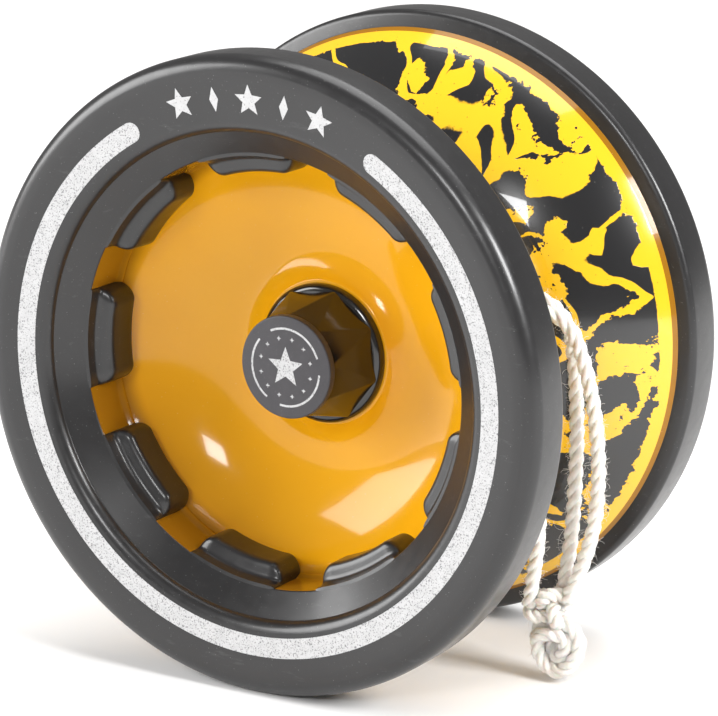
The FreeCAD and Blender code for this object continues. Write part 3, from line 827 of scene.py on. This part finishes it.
def plied(line, plies=3, pitch=4.6, sides=9, closed=False, seed=1):
    """Twisted plies round a line, as points and faces, a little uneven as cotton is. Together they
    are about as thick as the string."""
    pick = random.Random(seed)
    ply_radius, reach = 0.29 * STRING, 0.21 * STRING
    pairs = carried_frames(line, closed)
    points, faces = [], []
    walked = [0.0]
    for a, b in zip(line, line[1:]):
        walked.append(walked[-1] + (b - a).length)
    lap = walked[-1] + ((line[0] - line[-1]).length if closed else 0)
    turns = max(1, round(lap / pitch))
    for ply in range(plies):
        first = len(points)
        beat, phase = pick.uniform(0.5, 0.8), pick.uniform(0, math.tau)
        for spot, (across, up), along in zip(line, pairs, walked):
            twist = math.tau * (ply / plies + turns * along / lap)
            swell = 1 + 0.05 * math.sin(beat * along * 2.3 + phase)
            swell += 0.04 * math.sin(along * 5.1 + phase)
            out = across * math.cos(twist) + up * math.sin(twist)
            side = up * math.cos(twist) - across * math.sin(twist)
            centre = spot + out * reach
            for k in range(sides):
                turn = math.tau * k / sides
                points.append(
                    (centre + (out * math.cos(turn) + side * math.sin(turn)) * ply_radius * swell) * MM
                )
        rows = len(line)
        for row in range(rows if closed else rows - 1):
            here, there = first + row * sides, first + (row + 1) % rows * sides
            for k in range(sides):
                j = (k + 1) % sides
                faces.append((here + k, here + j, there + j, there + k))
        if not closed:
            faces.append(tuple(first + k for k in range(sides)))
            faces.append(tuple(first + (rows - 1) * sides + k for k in range(sides)))
    return points, faces


def hair(pick, root, way, length, radius=0.022):
    """One loose fibre: a thin curling tube, as points and faces."""
    steps, sides = 7, 3
    spot, heading = root.copy(), way.normalized()
    curl = Vector([pick.gauss(0, 1) for _ in range(3)]).normalized() * pick.uniform(0.2, 0.6)
    points, faces = [], []
    for step in range(steps + 1):
        thick = radius * (1 - 0.6 * step / steps)
        across = heading.orthogonal().normalized()
        up = heading.cross(across)
        for k in range(sides):
            turn = math.tau * k / sides
            points.append((spot + (across * math.cos(turn) + up * math.sin(turn)) * thick) * MM)
        heading = (heading + curl.cross(heading) * 0.8).normalized()
        spot = spot + heading * length / steps
    for step in range(steps):
        for k in range(sides):
            j = (k + 1) % sides
            here, there = step * sides, (step + 1) * sides
            faces.append((here + k, here + j, there + j, there + k))
    return points, faces


def fuzz(name, lines, material, per_mm, seed, reach=(0.35, 1.1), keep=None):
    """Loose fibres round the string, short and curled, with a few long ones."""
    pick = random.Random(seed)
    hairs = []
    for line in lines:
        line = evenly(line, 0.25)
        pairs = carried_frames(line)
        for _ in range(round(length_of(line) * per_mm)):
            index = pick.randrange(len(line) - 1)
            across, up = pairs[index]
            turn = pick.uniform(0, math.tau)
            out = across * math.cos(turn) + up * math.sin(turn)
            way = out + (line[index + 1] - line[index]).normalized() * pick.uniform(-1.4, 1.4)
            long = pick.uniform(*reach) * (2.0 if pick.random() < 0.06 else 1.0)
            root = line[index] + out * 0.68
            if keep is None or keep(root + way.normalized() * long):
                hairs.append(hair(pick, root, way, long))
    mesh = mesh_from(name, *joined(*hairs))
    return finished(name, mesh, "string", material, slot="string_cotton", angle=180)


def knot_line():
    """An overhand knot's own line, closed up small."""
    line = []
    for k in range(160):
        t = math.tau * k / 160
        spot = Vector(
            (
                (math.cos(t) - 2 * math.cos(2 * t)) * 0.70,
                -math.sin(3 * t) * 1.30,
                (math.sin(t) + 2 * math.sin(2 * t)) * 0.62,
            )
        )
        line.append(KNOT_CENTRE + spot)
    return line


def loop_line():
    """The finger loop's line, drawn up tight in three rounds that nearly fill its middle."""
    line = []
    for k in range(260):
        t = k / 260
        angle = math.pi / 2 + 3 * math.tau * t
        radius = 2.05 + 0.85 * math.cos(math.tau * t) + 0.10 * math.sin(3 * angle)
        shift = 0.95 * math.sin(math.tau * t) + 0.15 * math.sin(2 * angle)
        spot = Vector((radius * math.cos(angle), shift, radius * math.sin(angle)))
        line.append(LOOP_CENTRE + spot)
    return line


def make_string(cotton, down):
    leave = math.degrees(math.atan2(TAIL_ROUTE[0][2], TAIL_ROUTE[0][0]))
    spline = smooth_line("string_line", winding_points(leave) + TAIL_ROUTE)
    line = evenly(spline, 0.3)
    mesh = mesh_from("string", *plied(line))
    string = finished("string", mesh, "string", cotton, slot="string_cotton", angle=180)
    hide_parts("string_winding", "string_tail")
    noose_line = evenly(smooth_line("noose_line", NOOSE_ROUTE), 0.3)
    noose_mesh = mesh_from("slip_loop", *plied(noose_line, seed=2))
    noose = finished("slip_loop", noose_mesh, "string", cotton, slot="string_cotton", angle=180)
    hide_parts("string_noose")
    knot_mesh = mesh_from("knot", *plied(knot_line(), closed=True, pitch=2.6, seed=3))
    knot = finished("knot", knot_mesh, "string", cotton, slot="string_cotton", angle=180)
    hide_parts("string_knot")
    loop_mesh = mesh_from("tied_loop", *plied(loop_line(), closed=True, seed=4))
    loop = finished("tied_loop", loop_mesh, "string", cotton, slot="string_cotton", angle=180)
    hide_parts("finger_loop")
    free = evenly(smooth_line("tail_line", TAIL_ROUTE), 0.5)

    def above(spot):
        return spot.z > FLOOR + 0.2

    fluff = fuzz("string_fuzz", [free, noose_line], down, 16.0, 5, keep=above)
    knot_fluff = fuzz("knot_fuzz", [knot_line(), loop_line()], down, 15.0, 6, (0.3, 0.9), keep=above)


# ---------------------------------------------------------------- studio


def area_light(name, spot, target, width, height, power, colour=(1, 1, 1)):
    data = bpy.data.lights.new(name, "AREA")
    data.shape, data.size, data.size_y = "RECTANGLE", width, height
    data.energy, data.color = power, colour
    light = bpy.data.objects.new(name, data)
    light.location = spot
    light.rotation_mode = "QUATERNION"
    way = Vector(target) - Vector(spot)
    light.rotation_quaternion = way.to_track_quat("-Z", "Y")
    bpy.context.scene.collection.objects.link(light)


def studio():
    scene = bpy.context.scene
    scene.view_settings.view_transform = "Standard"
    world = bpy.data.worlds.new("studio")
    world.use_nodes = True
    sky = world.node_tree.nodes["Background"]
    sky.inputs["Color"].default_value = (1.0, 0.985, 0.97, 1)
    sky.inputs["Strength"].default_value = 0.30
    scene.world = world
    floor_mesh = bpy.data.meshes.new("floor")
    floor_mesh.from_pydata([(-3, -3, 0), (3, -3, 0), (3, 3, 0), (-3, 3, 0)], [], [(0, 1, 2, 3)])
    m = Finish("floor", Specular_IOR_Level=0.2)
    pale = m.mix(m.noise(0.01, 2), (0.93, 0.925, 0.92), (0.95, 0.945, 0.94))
    floor_mesh.materials.append(m.set(Base_Color=pale, Roughness=m.number("ADD", 0.5, 0.1)))
    floor = bpy.data.objects.new("floor", floor_mesh)
    floor.location.z = FLOOR * MM
    scene.collection.objects.link(floor)
    area_light("left", (-0.62, -0.40, 0.24), (0, 0, 0), 0.50, 0.46, 6.0)
    area_light("front", (0.17, -0.64, 0.33), (0, 0, 0), 0.15, 0.12, 1.4)
    area_light("right", (0.60, -0.05, 0.36), (0, 0, 0), 0.22, 0.22, 4.6)
    area_light("top", (0.05, 0.20, 0.80), (0, 0, 0), 0.8, 0.8, 7.2)


# ---------------------------------------------------------------- all of it


def main():
    make_camera()
    cotton, down = string_cotton(), cotton_fuzz()
    make_string(cotton, down)
    yellow, printed, rubber = yellow_plastic(), printed_flank(), rim_rubber()
    silver, white = silver_print("silver_ink", 0.03), silver_print("white_ink", -0.02)
    black, grey = hub_plastic(), cap_plastic()
    for name, side in SIDES:
        shell(name, side, yellow, printed)
        rim(name, side, rubber)
        rim_print(name, side, silver, white)
        hub(name, side, black, 52.0 if side < 0 else 38.0)
        cap(name, side, grey, silver)
    steel = turned_metal("bearing_steel", (0.68, 0.68, 0.70), (0.56, 0.56, 0.58), 0.12)
    inner = {
        "axle_steel": turned_metal("axle_steel", (0.55, 0.55, 0.56), (0.42, 0.42, 0.43), 0.25),
        "bearing_steel": steel,
        "brass": turned_metal("brass", (0.80, 0.56, 0.22), (0.62, 0.40, 0.14), 0.25),
        "spacer_aluminium": turned_metal("spacer_aluminium", (0.80, 0.80, 0.82), (0.7, 0.7, 0.72), 0.25),
        "cage_nylon": moulded("cage_nylon", (0.72, 0.66, 0.48), (0.62, 0.55, 0.38), 0.45),
        "pad_silicone": moulded("pad_silicone", (0.78, 0.78, 0.76), (0.66, 0.66, 0.64), 0.55),
    }
    for entry in frame["record"]["subparts"]:
        if entry["material_slot"] in inner:
            for holder in frame["nodes"][entry["node"]].material_slots:
                holder.material = inner[entry["material_slot"]]
    studio()


main()
